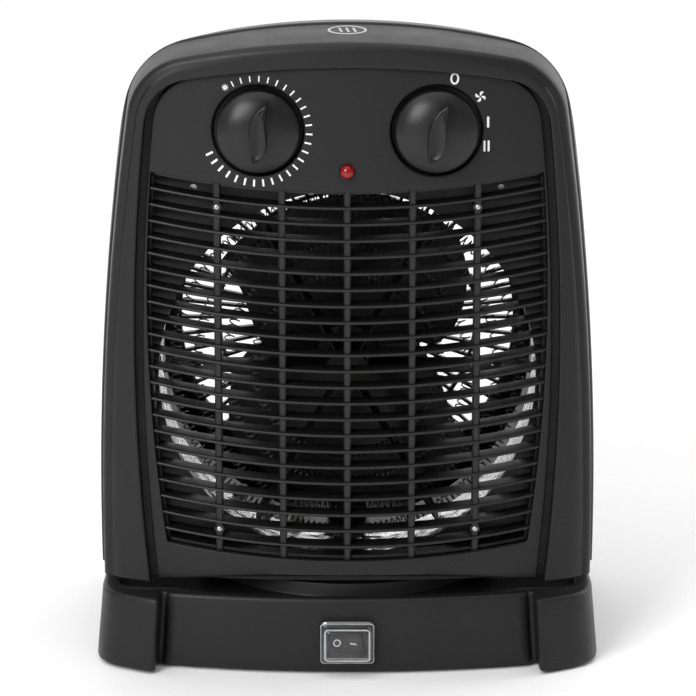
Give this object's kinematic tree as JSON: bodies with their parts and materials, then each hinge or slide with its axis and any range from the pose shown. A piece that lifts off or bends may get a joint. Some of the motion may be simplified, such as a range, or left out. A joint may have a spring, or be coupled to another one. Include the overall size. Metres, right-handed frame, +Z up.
{
  "type": "oscillating fan heater",
  "caption": "Upright fan heater: curved housing with a barred air outlet and two dials, swivelling on a low base with a hooded rocker switch.",
  "frame": {"origin": "centre of the footprint, on the floor under the feet", "axes": "+Z up, the air outlet faces -Y, +X to the viewer's right"},
  "size_m": [0.207, 0.1626, 0.2618],
  "materials": {
    "body_plastic": "fine satin texture",
    "grille_plastic": "satin",
    "knob_plastic": "smooth satin",
    "switch_plastic": "gloss",
    "clear_vinyl": "clear, soft",
    "rubber": "matt",
    "steel": "zinc plated",
    "black_steel": "satin black paint",
    "reflector_foil": "bright, slightly crumpled",
    "mica": "dark flaky sheet",
    "heating_wire": "oxidised",
    "ceramic": "unglazed",
    "white_nylon": "smooth",
    "laminations": "stacked sheet",
    "winding": "varnished copper",
    "bronze": "sintered",
    "fan_metal": "dark satin paint",
    "phenolic": "moulded",
    "red_lens": "polished, translucent",
    "neon_lamp": "small neon lamp"
  },
  "bodies": {
    "base": {"base_shell": "body_plastic", "base_plate": "black_steel", "rubber_feet": "rubber", "base_screws": "steel", "cord_inlet_bush": "rubber", "rocker_switch_body": "switch_plastic", "switch_boot": "clear_vinyl", "oscillation_motor": "steel", "oscillation_motor_screws": "steel", "glide_washer": "white_nylon", "terminal_block": "white_nylon", "tilt_switch": "switch_plastic"},
    "rocker_button": {"rocker": "knob_plastic"},
    "crank": {"oscillation_crank": "white_nylon"},
    "housing": {"swivel_plate": "body_plastic", "retaining_ring": "steel", "swing_arm": "steel", "retaining_screws": "steel", "front_frame": "body_plastic", "front_panel": "body_plastic", "outlet_grille": "grille_plastic", "grille_screws": "steel", "rear_shell": "body_plastic", "rear_grille": "grille_plastic", "case_screws": "steel", "duct_plate": "black_steel", "duct_plate_screws": "steel", "reflector_ring": "reflector_foil", "mica_boards": "mica", "heating_coil_low": "heating_wire", "heating_coil_high": "heating_wire", "ceramic_bushes": "ceramic", "thermal_cutout": "steel", "thermal_fuse": "steel", "motor_bridge": "steel", "motor_stator": "laminations", "motor_coil": "winding", "motor_brackets": "steel", "motor_bearings": "bronze", "motor_bolts": "steel", "control_bracket": "steel", "control_screws": "steel", "thermostat_body": "phenolic", "selector_body": "phenolic", "control_nuts": "steel", "pilot_lens": "red_lens", "pilot_lamp": "neon_lamp"},
    "fan": {"impeller": "fan_metal", "fan_shaft": "steel", "motor_rotor": "laminations", "impeller_nut": "steel"},
    "thermostat_dial": {"thermostat_shaft": "steel", "thermostat_knob": "knob_plastic"},
    "selector_dial": {"selector_shaft": "steel", "selector_knob": "knob_plastic"}
  },
  "joints": [
    {"name": "swivel", "type": "hinge", "parent": "base", "child": "housing", "pos_m": [0, 0, 0.036], "axis": [0, 0, 1], "range_deg": [-30, 30]},
    {"name": "crank_turn", "type": "hinge", "parent": "base", "child": "crank", "pos_m": [0, 0.03, 0.019], "axis": [0, 0, 1], "range_deg": [-90, 90]},
    {"name": "fan_spin", "type": "hinge", "parent": "housing", "child": "fan", "pos_m": [0, 0, 0.118], "axis": [0, 1, 0], "continuous": true},
    {"name": "thermostat_turn", "type": "hinge", "parent": "housing", "child": "thermostat_dial", "pos_m": [-0.0352, -0.07, 0.2235], "axis": [0, 1, 0], "range_deg": [-55, 225]},
    {"name": "selector_turn", "type": "hinge", "parent": "housing", "child": "selector_dial", "pos_m": [0.0352, -0.07, 0.2235], "axis": [0, 1, 0], "range_deg": [0, 84]},
    {"name": "rocker_tilt", "type": "hinge", "parent": "base", "child": "rocker_button", "pos_m": [0, -0.0728, 0.0144], "axis": [0, 0, 1], "range_deg": [0, 20]}
  ],
  "couplings": [
    {"joint": "crank_turn", "follows": "swivel", "ratio": 3}
  ]
}
